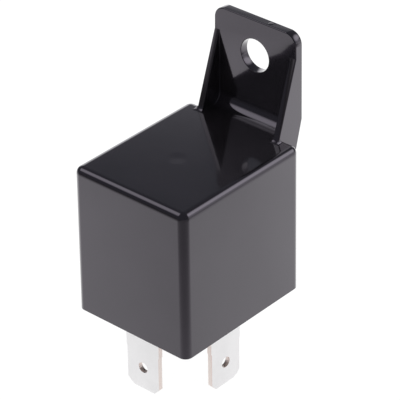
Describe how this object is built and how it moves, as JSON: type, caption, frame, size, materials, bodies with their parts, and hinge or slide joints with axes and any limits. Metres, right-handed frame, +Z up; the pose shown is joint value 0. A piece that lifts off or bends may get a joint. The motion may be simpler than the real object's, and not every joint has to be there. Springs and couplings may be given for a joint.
{
  "type": "automotive relay",
  "caption": "Plug-in automotive relay: black moulded case with an upright fixing bracket, flat blade terminals below, and a coil, armature and contact inside.",
  "frame": {"origin": "centre of the underside of the base, level with the rim of the case", "axes": "+Z up out of the top, +Y towards the fixing bracket, +X towards coil terminal 85"},
  "size_m": [0.022, 0.0301, 0.0527],
  "materials": {
    "case_plastic": "moulded, glossy",
    "base_plastic": "moulded, satin",
    "resin": "cast epoxy",
    "tinned_brass": "tin plated, stamped",
    "magnet_iron": "zinc plated soft iron",
    "rivet_steel": "headed",
    "bobbin_nylon": "moulded",
    "enamelled_copper": "enamelled wire",
    "spring_bronze": "rolled strip",
    "contact_silver": "silver alloy",
    "stop_brass": "stamped strip"
  },
  "bodies": {
    "relay": {"case": "case_plastic", "base": "base_plastic", "seal": "resin", "terminal_30": "tinned_brass", "terminal_87": "tinned_brass", "terminal_85": "tinned_brass", "terminal_86": "tinned_brass", "terminal_rivet": "rivet_steel", "yoke": "magnet_iron", "core": "magnet_iron", "bobbin": "bobbin_nylon", "winding": "enamelled_copper", "fixed_contact": "contact_silver", "yoke_rivet_left": "rivet_steel", "yoke_rivet_right": "rivet_steel", "backstop": "stop_brass"},
    "armature_assembly": {"armature": "magnet_iron", "contact_spring": "spring_bronze", "moving_contact": "contact_silver", "armature_rivet_left": "rivet_steel", "armature_rivet_right": "rivet_steel"}
  },
  "joints": [
    {"name": "armature_pull_in", "type": "hinge", "parent": "relay", "child": "armature_assembly", "pos_m": [0, 0.0084, 0.01902], "axis": [1, 0, 0], "range_deg": [0, 3.2], "stiffness_Nm_per_rad": 0.02, "springref_deg": -6.88, "deforming": ["contact_spring"]}
  ]
}
